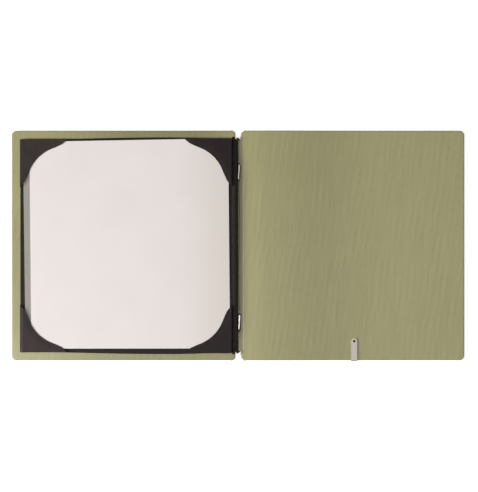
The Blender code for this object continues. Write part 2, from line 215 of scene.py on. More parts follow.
class Graph:
    """A short way to write a material's nodes. Distances inside it are in millimetres."""

    def __init__(self, name, roughness=0.5, metallic=0.0, specular=0.5, kept_place=False):
        self.material = bpy.data.materials.new(name)
        self.material.use_nodes = True
        self.tree = self.material.node_tree
        self.shader = self.tree.nodes["Principled BSDF"]
        self.shader.inputs["Roughness"].default_value = roughness
        self.shader.inputs["Metallic"].default_value = metallic
        self.shader.inputs["Specular IOR Level"].default_value = specular
        scale = self.tree.nodes.new("ShaderNodeMapping")
        scale.inputs["Scale"].default_value = (1 / MM, 1 / MM, 1 / MM)
        if kept_place:
            source = self.stored("rest_place").outputs["Vector"]
        else:
            source = self.tree.nodes.new("ShaderNodeTexCoord").outputs["Object"]
        self.tree.links.new(source, scale.inputs["Vector"])
        self.place = scale.outputs["Vector"]

    def stored(self, name):
        """The values that keep_rest_place() stored in the mesh."""
        node = self.tree.nodes.new("ShaderNodeAttribute")
        node.attribute_name = name
        return node

    def put(self, value, socket):
        """Feeds a socket from another node's socket, or sets its value."""
        if isinstance(value, bpy.types.NodeSocket):
            self.tree.links.new(value, socket)
        else:
            socket.default_value = value

    def math(self, operation, first, second=0.0):
        node = self.tree.nodes.new("ShaderNodeMath")
        node.operation = operation
        self.put(first, node.inputs[0])
        self.put(second, node.inputs[1])
        return node.outputs[0]

    def axis(self, letter):
        node = self.tree.nodes.new("ShaderNodeSeparateXYZ")
        self.tree.links.new(self.place, node.inputs[0])
        return node.outputs[letter]

    def stretched(self, scale, turn=0.0):
        """The place turned about Z by that angle, and then scaled."""
        turned = self.tree.nodes.new("ShaderNodeMapping")
        turned.inputs["Rotation"].default_value = (0.0, 0.0, turn)
        self.tree.links.new(self.place, turned.inputs["Vector"])
        node = self.tree.nodes.new("ShaderNodeMapping")
        node.inputs["Scale"].default_value = scale
        self.tree.links.new(turned.outputs["Vector"], node.inputs["Vector"])
        return node.outputs["Vector"]

    def noise(self, size, detail=3.0, where=None, roughness=0.55):
        node = self.tree.nodes.new("ShaderNodeTexNoise")
        node.inputs["Scale"].default_value = 1.0 / size
        node.inputs["Detail"].default_value = detail
        node.inputs["Roughness"].default_value = roughness
        self.tree.links.new(where or self.place, node.inputs["Vector"])
        return node.outputs["Fac"]

    def cells(self, size):
        node = self.tree.nodes.new("ShaderNodeTexVoronoi")
        node.inputs["Scale"].default_value = 1.0 / size
        self.tree.links.new(self.place, node.inputs["Vector"])
        return node.outputs["Distance"]

    def centred(self, value, amount):
        """A value between 0 and 1, moved to lie about 0 and scaled."""
        return self.math("MULTIPLY", self.math("SUBTRACT", value, 0.5), amount)

    def stripes(self, pitch, lean, wander, wander_size):
        """A sine across stripes of that pitch, which lean from +Y towards +X and wander about."""
        across = self.math("MULTIPLY", self.axis("X"), math.cos(lean))
        across = self.math("SUBTRACT", across, self.math("MULTIPLY", self.axis("Y"), math.sin(lean)))
        drift = self.math("MULTIPLY", self.noise(wander_size, 2.0), wander)
        across = self.math("ADD", across, drift)
        return self.math("SINE", self.math("MULTIPLY", across, 2 * math.pi / pitch))

    def spread(self, value, low, high, from_low=0.0, from_high=1.0, smoothed=False):
        node = self.tree.nodes.new("ShaderNodeMapRange")
        if smoothed:
            node.interpolation_type = "SMOOTHSTEP"
        ends = {"From Min": from_low, "From Max": from_high, "To Min": low, "To Max": high}
        for socket, number in ends.items():
            node.inputs[socket].default_value = number
        self.put(value, node.inputs["Value"])
        return node.outputs["Result"]

    def tint(self, amount, first, second):
        """first where amount is 0 and second where it is 1."""
        node = self.tree.nodes.new("ShaderNodeMix")
        node.data_type = "RGBA"
        self.put(amount, node.inputs[0])
        for value, socket in ((first, node.inputs[6]), (second, node.inputs[7])):
            self.put(value if isinstance(value, bpy.types.NodeSocket) else (*value, 1.0), socket)
        return node.outputs[2]

    def bump(self, height, depth, strength=1.0, below=None):
        """Relief of depth millimetres, on top of the relief below."""
        node = self.tree.nodes.new("ShaderNodeBump")
        node.inputs["Strength"].default_value = strength
        node.inputs["Distance"].default_value = depth * MM
        self.tree.links.new(height, node.inputs["Height"])
        if below:
            self.tree.links.new(below, node.inputs["Normal"])
        return node.outputs["Normal"]

    def finish(self, colour=None, roughness=None, normal=None):
        for value, name in ((colour, "Base Color"), (roughness, "Roughness"), (normal, "Normal")):
            if value is not None:
                self.put(value, self.shader.inputs[name])
        return self.material


# The leatherette's pattern and colours. Lengths are in millimetres.
RIB_PITCH, RIB_LEAN, RIB_WANDER = 1.05, math.radians(6.0), (1.2, 25.0)
BAND_PITCH, BAND_LEAN, BAND_WANDER = 6.46, math.radians(9.0), (11.0, 90.0)
STREAK_WIDTH, STREAK_SHAPE, STREAK_LEAN = 1.7, (1.0, 0.045, 1.0), math.radians(5.0)
MOTTLE_SIZE, BAND_PATCH_SIZE, GRAIN_SIZE = 60.0, 35.0, 0.55
BAND_SHARE, MOTTLE_SHARE, STREAK_SHARE, RIB_SHARE, GRAIN_SHARE = 0.30, 0.5, 2.2, 0.18, 0.6
LIGHT_GREEN = (0.346, 0.325, 0.152)
DARK_GREEN = (0.268, 0.252, 0.112)
# The near black that the painted shade in folds, valleys and borders darkens the green towards.
PAINTED_SHADE_COLOUR = (0.030, 0.024, 0.014)


def leatherette(name):
    """Green coated cloth with fine leaning ribs, faint broad bands, and painted shade in its folds,
    valleys and borders.
    """
    g = Graph(name, specular=0.35, kept_place=True)
    g.shader.inputs["Coat Weight"].default_value = 0.8
    g.shader.inputs["Coat Roughness"].default_value = 0.33
    ribs = g.stripes(RIB_PITCH, RIB_LEAN, *RIB_WANDER)
    bands = g.stripes(BAND_PITCH, BAND_LEAN, *BAND_WANDER)
    bands = g.math("MULTIPLY", bands, g.spread(g.noise(BAND_PATCH_SIZE, 2.0), 0.0, 1.0, 0.35, 0.65))
    streaks = g.noise(STREAK_WIDTH, 3.0, where=g.stretched(STREAK_SHAPE, STREAK_LEAN))
    mottle = g.noise(MOTTLE_SIZE, 2.0)
    grain = g.noise(GRAIN_SIZE, 3.0)
    tone = g.math("ADD", g.math("MULTIPLY", bands, BAND_SHARE), g.centred(mottle, MOTTLE_SHARE))
    tone = g.math("ADD", tone, g.centred(streaks, STREAK_SHARE))
    tone = g.math("ADD", tone, g.math("MULTIPLY", ribs, RIB_SHARE))
    tone = g.math("ADD", tone, g.centred(grain, GRAIN_SHARE))
    colour = g.tint(g.spread(tone, 0.0, 1.0, -1.0, 1.0), DARK_GREEN, LIGHT_GREEN)
    # Painted shade: the stored amount darkens the green in folds, valleys and borders.
    colour = g.tint(g.stored("painted_shade").outputs["Fac"], colour, PAINTED_SHADE_COLOUR)
    roughness = g.spread(grain, 0.46, 0.66)
    normal = g.bump(ribs, 0.035, 0.8)
    normal = g.bump(grain, 0.03, 0.6, normal)
    normal = g.bump(streaks, 0.03, 0.5, normal)
    normal = g.bump(bands, 0.03, 0.5, normal)
    return g.finish(colour, roughness, normal)


BLACK_TINT = (1.10, 0.80, 0.74)
DUST_TINT = (1.22, 0.80, 0.76)
DUST_GAIN = 1.5


def black_stock(name, tone, specular=0.2, grain_size=0.5, painted_light_and_shade_fade=None):
    """Black grained stock with a satin face and dusty highlights. It may fade to a tint along +X, as
    painted light and shade.
    """
    g = Graph(name, specular=specular)
    grain = g.cells(grain_size)
    dust = g.noise(9.0, 5.0, roughness=0.7)
    amount = g.spread(dust, 0.0, 1.0, 0.35, 0.75)
    low = tuple(tone * c for c in BLACK_TINT)
    high = tuple(tone * c * DUST_GAIN for c in DUST_TINT)
    colour = g.tint(amount, low, high)
    if painted_light_and_shade_fade:
        tint, start, end = painted_light_and_shade_fade
        colour = g.tint(g.spread(g.axis("X"), 0.0, 1.0, start, end, smoothed=True), colour, tint)
    roughness = g.spread(dust, 0.42, 0.62)
    normal = g.bump(grain, 0.03, 0.5)
    normal = g.bump(g.noise(0.25, 2.0), 0.015, 0.5, normal)
    return g.finish(colour, roughness, normal)


def paper(name, light, dark, fibre=0.8, gloss=0.35, painted_shade_fade=None):
    """Smooth card or paper with faint fibres and cloudy tone. It may darken to a tint along +X, as
    painted shade.
    """
    g = Graph(name, roughness=0.55, specular=gloss)
    cloud = g.noise(45.0, 3.0)
    fibres = g.noise(fibre, 4.0, where=g.stretched((1.0, 0.25, 1.0), 0.4))
    tone = g.math("ADD", g.math("MULTIPLY", cloud, 0.7), g.math("MULTIPLY", fibres, 0.3))
    colour = g.tint(g.spread(tone, 0.0, 1.0, 0.3, 0.7), dark, light)
    if painted_shade_fade:
        tint, start, end = painted_shade_fade
        colour = g.tint(g.spread(g.axis("X"), 0.0, 1.0, start, end, smoothed=True), colour, tint)
    roughness = g.spread(fibres, 0.45, 0.62)
    return g.finish(colour, roughness, g.bump(fibres, 0.012, 0.5))


STEEL_TINT = (1.0, 0.91, 0.83)


def brushed_steel(name, tone, metallic=1.0, roughness=0.3):
    """Steel with fine brush marks along Y, bright or dulled."""
    g = Graph(name, metallic=metallic)
    marks = g.noise(1.0, 4.0, where=g.stretched((12.0, 0.35, 12.0)))
    smudge = g.noise(3.0, 3.0)
    low = tuple(tone * c * 0.85 for c in STEEL_TINT)
    high = tuple(tone * c for c in STEEL_TINT)
    colour = g.tint(marks, low, high)
    rough = g.spread(marks, roughness - 0.07, roughness + 0.1)
    rough = g.math("ADD", rough, g.spread(smudge, -0.03, 0.05))
    return g.finish(colour, rough, g.bump(marks, 0.006, 0.6))


def braid(name):
    """Dark red braided cord: the strands are in the mesh, and the fibres here."""
    g = Graph(name, roughness=0.75, specular=0.3)
    g.shader.inputs["Sheen Weight"].default_value = 0.4
    g.shader.inputs["Sheen Roughness"].default_value = 0.4
    fibres = g.noise(0.12, 3.0, where=g.stretched((3.0, 0.6, 3.0)))
    patch = g.noise(1.5, 2.0)
    colour = g.tint(g.spread(patch, 0.0, 1.0, 0.3, 0.7), (0.045, 0.010, 0.007), (0.155, 0.040, 0.028))
    return g.finish(colour, None, g.bump(fibres, 0.03, 0.8))


def greyboard(name):
    g = Graph(name, roughness=0.9, specular=0.2)
    layers = g.noise(0.6, 4.0, where=g.stretched((0.3, 0.3, 4.0)))
    colour = g.tint(g.spread(layers, 0.0, 1.0, 0.3, 0.7), (0.20, 0.19, 0.17), (0.36, 0.34, 0.31))
    return g.finish(colour, None, g.bump(layers, 0.06, 0.8))


GREEN = leatherette("ribbed_leatherette")
CARRIER_BLACK = black_stock("black_carrier_stock", 0.011, 0.16)
# Lit and shaded copies of one black stock: the left pockets are painted lighter, as painted light from
# the lamps on the left, and the right ones painted darker.
POCKET_BLACK_PAINTED_LIGHT_AND_SHADE = {
    "left": black_stock("black_pocket_stock_painted_lighter_left", 0.021),
    "right": black_stock("black_pocket_stock_painted_darker_right", 0.0115, 0.17),
}
# Painted light and shade: the sleeve fades from a lighter strap, in the pockets' shadow, to a darker
# loop, which the lamps light.
SLEEVE_BLACK = black_stock(
    "black_sleeve_stock", 0.014, 0.08, 0.4, painted_light_and_shade_fade=((0.0045, 0.0034, 0.0030), -4.6, -2.2)
)
# The card is painted darker towards the spine: painted shade.
CARD_WHITE = paper(
    "white_card_stock",
    (0.745, 0.695, 0.680),
    (0.710, 0.660, 0.645),
    painted_shade_fade=((0.640, 0.590, 0.550), -68.0, 0.0),
)
BACKING_GREY = paper("grey_backing_paper", (0.310, 0.290, 0.262), (0.275, 0.258, 0.232), 0.5, 0.2)
TAG_STEEL = brushed_steel("tag_steel", 0.53, 0.85)
BARB_STEEL = brushed_steel("barb_steel", 0.98)
RIVET_STEEL = brushed_steel("rivet_dark_steel", 0.02, roughness=0.5)
CORD_RED = braid("oxblood_braid")
BOARD_GREY = greyboard("cover_greyboard")


# Cover panels. FINE has the offsets from an edge at which a surface gets rows or columns, RECESS_EDGE
# where the dip under the tag's rear leg starts and ends, ENDS where the fold's middle passes into head
# and tail, and BORDER where the carrier passes into the cover's border.

SWELL_HEIGHT = 1.45 * MM
SWELL_CREST = 27 * MM
SWELL_FOOT = 108 * MM
VALLEY_X = 2.4 * MM
# How dark the painted shade in the valley by the sleeve is.
VALLEY_PAINTED_SHADE = 0.50
# How dark the painted shade in a broad band past the back cover's swelling is.
BAND_PAINTED_SHADE = 0.15
BORDER = (95 * MM, 105 * MM)
# How dark the painted shade along the front cover's head, tail and outer side is.
HEAD_PAINTED_SHADE, TAIL_PAINTED_SHADE, SIDE_PAINTED_SHADE = 0.34, 0.14, 0.11
ENDS = (78 * MM, 100 * MM)
RECESS_DEPTH = 0.57 * MM
RECESS_EDGE = (0.15 * MM, 0.40 * MM)
FINE = [offset * MM for offset in (0.0, 0.05, 0.15, 0.35, 0.65, 1.0, 1.5, 2.5, 4.0, 6.0)]


def panel_edge_path(side):
    """The cut edge of a cover, from the notch at the tail of the spine round to the one at its head."""
    ear = EAR_CORNER[side]
    return np.concatenate(
        [
            [(EAR_X + EAR_NOTCH, -EAR_BASE), (EAR_X, -EAR_BASE)],
            arc((EAR_X + ear, -HALF_HEIGHT + ear), ear, 180, 270, 12),
            arc((REACH - CORNER, -HALF_HEIGHT + CORNER), CORNER, 270, 360, 12),
            arc((REACH - CORNER, HALF_HEIGHT - CORNER), CORNER, 0, 90, 12),
            arc((EAR_X + ear, HALF_HEIGHT - ear), ear, 90, 180, 12),
            [(EAR_X, EAR_BASE), (EAR_X + EAR_NOTCH, EAR_BASE)],
        ]
    )


def corner_shrink(y, radius):
    """How far a rounded corner pulls a side in at height y."""
    into = np.clip(np.abs(y) - (HALF_HEIGHT - radius), 0.0, radius)
    return radius - np.sqrt(np.maximum(radius**2 - into**2, 0.0))


def edge_fall(distance):
    """How far a skin turns in towards the middle of the cover near its edge."""
    near = np.clip(EDGE_ROUND - distance, 0.0, EDGE_ROUND)
    return EDGE_ROUND - np.sqrt(EDGE_ROUND**2 - near**2)


def back_swell(x, y):
    """The back cover's inner face swells past the fold, less at its ends, and settles further out."""
    ends = smooth(58 * MM, 96 * MM, np.abs(y))
    start, crest = FOLD_X + 0.5 * MM - 1.6 * MM * ends, SWELL_CREST - 3 * MM * ends
    height = SWELL_HEIGHT * (1 - 0.12 * (1 - ends)) * (1 - 0.40 * ends)
    return height * smooth(start, crest, x) * (1 - smooth(SWELL_CREST, SWELL_FOOT, x))


def front_swell(x):
    """The front cover's inner face is a touch higher by the fold."""
    return 0.12 * MM * (1 - smooth(0.0, 60 * MM, np.abs(x)))


def tag_recess(x, y):
    """1 where the back cover's outer skin dips under the tag's rear leg, and 0 beside it."""
    across = smooth(TAG_LOW.x - RECESS_EDGE[1], TAG_LOW.x - RECESS_EDGE[0], x)
    across *= 1 - smooth(TAG_HIGH.x + RECESS_EDGE[0], TAG_HIGH.x + RECESS_EDGE[1], x)
    return across * (1 - smooth(TAG_HIGH.y + RECESS_EDGE[0], TAG_HIGH.y + RECESS_EDGE[1], y))


def panel_height(side, face, x, y):
    """The outside of one skin of one cover, above the floor."""
    flat = np.stack([x.ravel(), y.ravel()], axis=1)
    fall = edge_fall(distance_to_path(flat, panel_edge_path(side))).reshape(x.shape)
    if face == "outer":
        return fall + (RECESS_DEPTH * tag_recess(x, y) * (1 - fall / EDGE_ROUND) if side > 0 else 0.0)
    swell = back_swell(x, y) if side > 0 else front_swell(x)
    return THICK + swell * smooth(0.0, 12 * MM, REACH - x) - fall


def panel_patches(side, face):
    """One skin of one cover: the strip by the fold, an ear at each end of it, and all the rest."""
    ear_rows = EAR_BASE + EAR_HEIGHT * np.linspace(0.0, 1.0, 15) ** 0.7
    beside_tag = np.array(RECESS_EDGE)
    rows = np.concatenate([clustered(-HALF_HEIGHT, HALF_HEIGHT, 5 * MM, FINE), ear_rows, -ear_rows])
    rows = np.concatenate([rows, TAG_HIGH.y + beside_tag])
    rows = np.unique(np.round(rows, 7))
    ear_base = np.round(EAR_BASE, 7)
    fine = np.array(FINE)
    far_share = np.linspace(0.0, 1.0 - fine[-1] / REACH, 46)
    far_share = np.concatenate([far_share, 1.0 - fine[-2::-1] / REACH])
    tag_columns = np.concatenate([TAG_LOW.x - beside_tag, TAG_HIGH.x + beside_tag])
    far_share = np.unique(np.concatenate([far_share, (tag_columns - JOIN_X) / (REACH - JOIN_X)]))
    strip = np.linspace(SEAM, JOIN_X, 9)
    ear_columns = np.concatenate([fine, strip - EAR_X, [JOIN_X - EAR_X]])
    ear_share = np.unique(np.round(ear_columns / (JOIN_X - EAR_X), 6))
    middle = rows[np.abs(rows) <= ear_base]
    head, tail = rows[rows >= ear_base], rows[rows <= -ear_base]
    parts = [
        (rows, JOIN_X, REACH - corner_shrink(rows, CORNER), far_share),
        (middle, SEAM, JOIN_X, (strip - SEAM) / (JOIN_X - SEAM)),
        (head, EAR_X + corner_shrink(head, EAR_CORNER[side]), JOIN_X, ear_share),
        (tail, EAR_X + corner_shrink(tail, EAR_CORNER[side]), JOIN_X, ear_share),
    ]
    patches = []
    for chosen, low, high, share in parts:
        low, high = np.broadcast_to(low, chosen.shape), np.broadcast_to(high, chosen.shape)
        x = low[:, None] + (high - low)[:, None] * share[None, :]
        y = np.repeat(chosen[:, None], len(share), axis=1)
        patches.append(np.stack([side * x, y, panel_height(side, face, x, y)], axis=-1))
    return patches


def valley_shade(x, y):
    """Painted shade in the valley between the hinge sleeve and the back cover's swelling."""
    middle = 1 - smooth(*ENDS, np.abs(y))
    near_side = np.exp(-(((x - VALLEY_X) / (1.3 * MM)) ** 2))
    far_side = np.exp(-(x - VALLEY_X) / (4.4 * MM))
    return VALLEY_PAINTED_SHADE * middle * np.where(x < VALLEY_X, near_side, far_side)


def back_painted_shade(x, y, z):
    """Painted shade on the back cover's inner face: darker in a broad band past the swelling, and in the
    valley.
    """
    band = BAND_PAINTED_SHADE * np.exp(-(((x - 82 * MM) / (42 * MM)) ** 2))
    return np.maximum(band, valley_shade(x, y)) * (z > MIDDLE_Z)


def front_painted_shade(x, y, z):
    """Painted shade on the front cover's borders: darker along the head, the tail and the middle of the
    outer side.
    """
    head = HEAD_PAINTED_SHADE * smooth(-205 * MM, -90 * MM, x) * (1 - smooth(-45 * MM, 8 * MM, x))
    tail = TAIL_PAINTED_SHADE * smooth(-190 * MM, -130 * MM, x)
    side = SIDE_PAINTED_SHADE * (1 - smooth(45 * MM, 80 * MM, np.abs(y + 30 * MM)))
    ends = head * smooth(*BORDER, y) + tail * smooth(*BORDER, -y)
    return np.maximum(ends, side * (x < -200 * MM)) * (z > MIDDLE_Z)


def make_panels():
    for side, cover, shade_painter in ((-1, "front", front_painted_shade), (1, "back", back_painted_shade)):
        for face in ("inner", "outer"):
            up = (face == "inner") == (side > 0)
            mesh = grid_mesh(f"{cover}_{face}_leatherette", panel_patches(side, face), up)
            node = f"{cover}_{face}_skin"
            # Each cover's painted shade is stored with its points.
            keep_rest_place(mesh, shade_painter)
            piece = add_piece(mesh.name, mesh, GREEN, f"{cover}_cover", node)
            thicken(piece, SKIN)


# Spine and its two folds. CREASE_WANDER has waves as (reach, length, phase), and CREASE_EXTRA is how
# much deeper the crease is between the barbs.

BARB_HALF_WIDTH = 1.0 * MM
BARB_LEAN = math.radians(2.6)
BARB_SHIFT = {"upper_barb": 0.40 * MM, "lower_barb": 0.45 * MM}
BARB_LIFT = 0.25 * MM
SLOT_WALL = (0.50 * MM, 0.80 * MM)
# How dark the painted shade in the slots round the barbs is.
SLOT_PAINTED_SHADE = 0.9
GROOVE_DEPTH = 0.35 * MM
CREASE_X = 1.15 * MM
CREASE_DEPTH = 0.12 * MM
CREASE_EXTRA = 0.30 * MM
VALLEY_DEPTH = 0.12 * MM
CREASE_WANDER = ((0.16 * MM, 17 * MM, 0.0), (0.08 * MM, 5.3 * MM, 1.0))


def barb_distance(x, y, node):
    """How far a point is from a barb's edge, seen from above; negative over the barb."""
    low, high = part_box(node)
    centre = (low + high) / 2
    beside = x - centre.x - BARB_SHIFT[node]
    across = beside * math.cos(BARB_LEAN) - (y - centre.y) * math.sin(BARB_LEAN)
    along = beside * math.sin(BARB_LEAN) + (y - centre.y) * math.cos(BARB_LEAN)
    reach = (high.y - low.y) / 2 - BARB_HALF_WIDTH
    return np.hypot(across, np.maximum(np.abs(along) - reach, 0.0)) - BARB_HALF_WIDTH


def slot_depth(x, y):
    """1 in the slots round the two barbs and 0 outside them, with a narrow sloping wall between."""
    nearest = np.minimum(barb_distance(x, y, "upper_barb"), barb_distance(x, y, "lower_barb"))
    return 1 - smooth(*SLOT_WALL, nearest)


def crease_place(y):
    """The soft crease down the spine wanders a little to either side."""
    return CREASE_X + sum(reach * np.sin(y / length + phase) for reach, length, phase in CREASE_WANDER)


def fold_painted_shade(x, y, z):
    """Painted shade in the crease and the valley, and painted shade lining the slots round the barbs."""
    side = np.sign(x.sum())
    middle = 1 - smooth(80 * MM, 99 * MM, np.abs(y))
    crease = (0.55 + 0.20 * middle) * np.exp(-(((x - crease_place(y)) / (0.36 * MM)) ** 2))
    shade = np.clip(crease + valley_shade(x, y), 0.0, SLOT_PAINTED_SHADE) if side > 0 else 0 * x
    return np.maximum(shade, SLOT_PAINTED_SHADE * slot_depth(x, y)) * (z > MIDDLE_Z - 1.3 * MM)


def fold_half(side, face):
    """Half of the spine, from its middle to the seam with one cover."""
    fine_reach, seam = 2.4, SEAM / MM
    fine, coarse = np.arange(0.0, fine_reach, 0.12), np.arange(fine_reach, seam - 0.1, 0.3)
    x = np.concatenate([fine, coarse, [seam]]) * MM
    rows = clustered(-1.0, 1.0, 0.9 * MM / SPINE_END, [offset / SPINE_END for offset in FINE])
    end = SPINE_END + (EAR_BASE - SPINE_END) * smooth(2.2 * MM, 2.9 * MM, x)
    grid_x = np.repeat(x[None, :], len(rows), axis=0)
    grid_y = rows[:, None] * end[None, :]
    from_end = end[None, :] - np.abs(grid_y)
    fall = edge_fall(from_end) * (1 - smooth(EAR_X, EAR_X + EAR_NOTCH, grid_x))
    if face == "outer":
        groove = GROOVE_DEPTH * np.exp(-(((grid_x - FOLD_X) / (0.6 * MM)) ** 2))
        return np.stack([side * grid_x, grid_y, fall + groove], axis=-1)
    settle = 1 - smooth(SEAM - 1.6 * MM, SEAM, grid_x)
    swell = back_swell(grid_x, grid_y) if side > 0 else front_swell(grid_x)
    z = THICK + swell - fall
    if side > 0:
        middle = 1 - smooth(*ENDS, np.abs(grid_y))
        deep = CREASE_DEPTH + CREASE_EXTRA * (1 - smooth(62 * MM, 66 * MM, np.abs(grid_y)))
        crease = deep * np.exp(-(((grid_x - crease_place(grid_y)) / (0.30 * MM)) ** 2))
        valley = VALLEY_DEPTH * middle * np.exp(-(((grid_x - 2.6 * MM) / (1.3 * MM)) ** 2))
        z -= (crease + valley) * settle
    inside = slot_depth(side * grid_x, grid_y)
    z = z * (1 - inside) + (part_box("upper_barb")[0].z - 0.1 * MM) * inside
    return np.stack([side * grid_x, grid_y, z], axis=-1)


def make_spine():
    for side, cover in ((-1, "front"), (1, "back")):
        for face in ("inner", "outer"):
            up = (face == "inner") == (side > 0)
            mesh = grid_mesh(f"spine_{face}_leatherette_{cover}", [fold_half(side, face)], up)
            keep_rest_place(mesh, fold_painted_shade if face == "inner" else None)
            node = f"spine_{face}_skin"
            piece = add_piece(mesh.name, mesh, GREEN, None, node)
            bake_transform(piece)
            thicken(piece, SKIN)


make_panels()
make_spine()


# Elastic cord.

CORD_RADIUS = 0.7 * MM
STRANDS = 8
LOBE_DEPTH = 0.07
TWIST = 1.1 * MM
LOOSE_TURN, LOOSE_END, TIGHT_RUN = 0.55, 0.12, 0.14
TURN_STEPS = 24
RUN_STEPS = 560


def smooth_route(points, steps):
    """A smooth line through points, as Catmull-Rom pieces of that many steps."""
    points = [np.array(point) for point in points]
    ends = [2 * points[0] - points[1]] + points + [2 * points[-1] - points[-2]]
    route = []
    for before, here, after, beyond in zip(ends[:-3], ends[1:-2], ends[2:-1], ends[3:]):
        for share in np.arange(steps) / steps:
            bend = (2 * before - 5 * here + 4 * after - beyond) * share**2
            turn = (3 * here - before - 3 * after + beyond) * share**3
            route.append((2 * here + (after - before) * share + bend + turn) / 2)
    return route + [points[-1]]


def cord_route():
    """The cord's line: upper barb, over the head, down the sleeve, round the tail, lower barb."""
    run_x, run_z = CORD_HIGH.x - CORD_RADIUS, MIDDLE_Z
    top = CORD_HIGH.y - CORD_RADIUS - 0.4 * MM
    rise = PAGE_HINGE.z - run_z
    head = [
        (run_x, top - 4.0 * MM, run_z),
        (run_x, top - 1.7 * MM, run_z + 0.1 * MM),
        (run_x - 0.2 * MM, top - 0.7 * MM, run_z + 0.3 * rise),
        (PAGE_HINGE.x + 1.0 * MM, top - 0.3 * MM, run_z + 0.8 * rise),
        (PAGE_HINGE.x + 0.1 * MM, top - 0.2 * MM, PAGE_HINGE.z + 0.15 * MM),
        (PAGE_HINGE.x - 0.1 * MM, top - 1.3 * MM, PAGE_HINGE.z + 0.1 * MM),
        (PAGE_HINGE.x, top - 3.2 * MM, PAGE_HINGE.z),
    ]
    tail = [(x, -y, z) for x, y, z in reversed(head)]
    upper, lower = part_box("upper_barb"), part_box("lower_barb")
    start = ((upper[0].x + upper[1].x) / 2 + 0.5 * MM, upper[1].y + 0.3 * MM, run_z)
    end_x, end_y = (lower[0].x + lower[1].x) / 2 + BARB_SHIFT["lower_barb"], lower[0].y
    knot = [
        (run_x, end_y - 9.0 * MM, run_z),
        (run_x + 0.1 * MM, end_y - 4.0 * MM, run_z + 0.1 * MM),
        (run_x - 0.1 * MM, end_y - 2.0 * MM, THICK - 0.6 * MM),
        (end_x - 0.3 * MM, end_y - 0.5 * MM, THICK + 0.1 * MM),
        (end_x - 0.5 * MM, end_y - 0.9 * MM, THICK + 0.1 * MM),
        (end_x - 0.9 * MM, end_y - 0.8 * MM, THICK - 0.2 * MM),
    ]
    route = smooth_route([start] + head, TURN_STEPS)
    route += smooth_route([head[-1], tail[0]], RUN_STEPS)[1:-1]
    route += smooth_route(tail + knot, TURN_STEPS)
    return np.array(route), top


def make_cord():
    """A braid: a section with one lobe to a strand, turning along the cord, and looser at its turns."""
    route, top = cord_route()
    along = np.gradient(route, axis=0)
    along /= np.linalg.norm(along, axis=1, keepdims=True)
    length = np.concatenate([[0.0], np.cumsum(np.linalg.norm(np.diff(route, axis=0), axis=1))])
    side = np.cross(along, np.array([0.35, 0.0, 1.0]))
    side /= np.linalg.norm(side, axis=1, keepdims=True)
    other = np.cross(along, side)
    loose = 1 + LOOSE_TURN * smooth(top - 2.2 * MM, top - 0.8 * MM, np.abs(route[:, 1]))
    loose += LOOSE_END * smooth(length[-1] - 4 * MM, length[-1] - 1.5 * MM, length)
    loose *= 1 - TIGHT_RUN * (route[:, 0] < 0.0) * (np.abs(route[:, 1]) < top - 2.5 * MM)
    angles = np.linspace(0, 2 * math.pi, 3 * STRANDS + 1)[:-1]
    turn = length[:, None] / TWIST
    lobes = np.cos(STRANDS / 2 * angles[None, :] + turn) * np.cos(STRANDS / 2 * angles[None, :] - turn)
    radius = CORD_RADIUS * loose[:, None] * (1 - LOBE_DEPTH + LOBE_DEPTH * lobes)
    ring = side[:, None, :] * np.cos(angles)[None, :, None]
    ring = ring + other[:, None, :] * np.sin(angles)[None, :, None]
    mesh = tube_mesh("elastic_braid", route[:, None, :] + radius[:, :, None] * ring)
    add_piece("elastic_braid", mesh, CORD_RED, "spine", "elastic_cord")


make_cord()


# Barbs.

SQUARENESS = 2.5


def make_barb(node, bend):
    """A bright bar with rounded ends, bent a little one way and then the other."""
    low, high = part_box(node)
    centre = (low + high) / 2
    half = (high.y - low.y) / 2
    along = np.concatenate([-half + np.array(FINE[:7]), np.linspace(-half + 2 * MM, half - 2 * MM, 40)])
    along = np.concatenate([along, (half - np.array(FINE[:7]))[::-1]])
    end = np.clip((np.abs(along) - half + BARB_HALF_WIDTH) / BARB_HALF_WIDTH, 0.0, 0.985)
    taper = np.sqrt(1 - end**2)
    x = centre.x + BARB_SHIFT[node] + along * math.tan(BARB_LEAN)
    x = x + bend * np.sin(along / half * math.pi)
    angles = np.linspace(0, 2 * math.pi, 29)[:-1]
    flatten = np.abs(np.cos(angles)) ** SQUARENESS + np.abs(np.sin(angles)) ** SQUARENESS
    flatten = flatten ** (-1 / SQUARENESS)
    wide = BARB_HALF_WIDTH * np.cos(angles) * flatten
    tall = (high.z - low.z) / 2 * np.sin(angles) * flatten
    ring_x = x[:, None] + taper[:, None] * wide[None, :]
    ring_z = centre.z + BARB_LIFT + (0.35 + 0.65 * taper[:, None]) * tall[None, :]
    ring_y = np.repeat((centre.y + along)[:, None], len(angles), axis=1)
    mesh = tube_mesh(f"{node}_bar", np.stack([ring_x, ring_y, ring_z], axis=-1))
    add_piece(mesh.name, mesh, BARB_STEEL, "spine", node)


make_barb("upper_barb", 0.14 * MM)
make_barb("lower_barb", 0.05 * MM)


# Corner pockets. FLARE and HOLLOW are corners (x, y, radius) of the long side, in millimetres from the
# pocket's corner: two by the leg's tip, and the one in the middle.

POCKET_LEG = 47.5 * MM
POCKET_CORNER = 1.0 * MM
POCKET_STOCK = 0.22 * MM
POCKET_TURN = 0.45 * MM
POCKET_INSET = {"left": 0.9 * MM, "right": 0.0}
SCORE_DEPTH = 0.34 * MM
SCORE_EDGE = (1.75 * MM, 2.15 * MM)
FLARE = [(42.0, 4.6, 8.0), (34.8, 7.9, 30.0)]
HOLLOW = (15.2, 15.2, 40.0)


